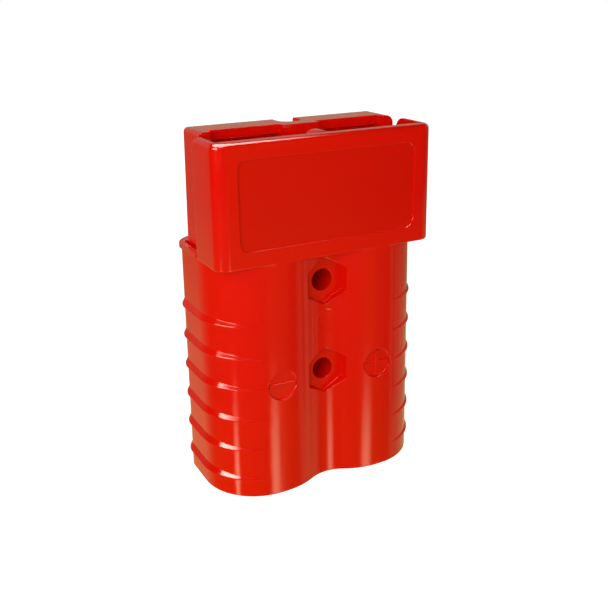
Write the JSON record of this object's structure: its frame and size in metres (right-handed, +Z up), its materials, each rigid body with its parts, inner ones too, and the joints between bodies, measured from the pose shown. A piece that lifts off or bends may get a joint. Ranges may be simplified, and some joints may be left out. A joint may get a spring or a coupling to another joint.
{
  "type": "genderless two pole power connector",
  "caption": "Upright genderless power connector: open hood with key rib in front, tongue with wiping contacts behind, cable entries below.",
  "frame": {"origin": "centre of the bounding box's footprint, at the cable end on which the connector stands", "axes": "+Z up, in the mating direction; -Y front, with the hood's face and the polarity marks; X across the two poles, + pole on the +X side"},
  "size_m": [0.0726, 0.037, 0.1087],
  "materials": {
    "housing": "glossy moulded polycarbonate",
    "contact": "silver plated copper",
    "spring": "stainless leaf"
  },
  "bodies": {
    "root": {"housing": "housing", "contact_negative": "contact", "contact_positive": "contact", "spring_negative": "spring", "spring_positive": "spring"}
  },
  "joints": []
}
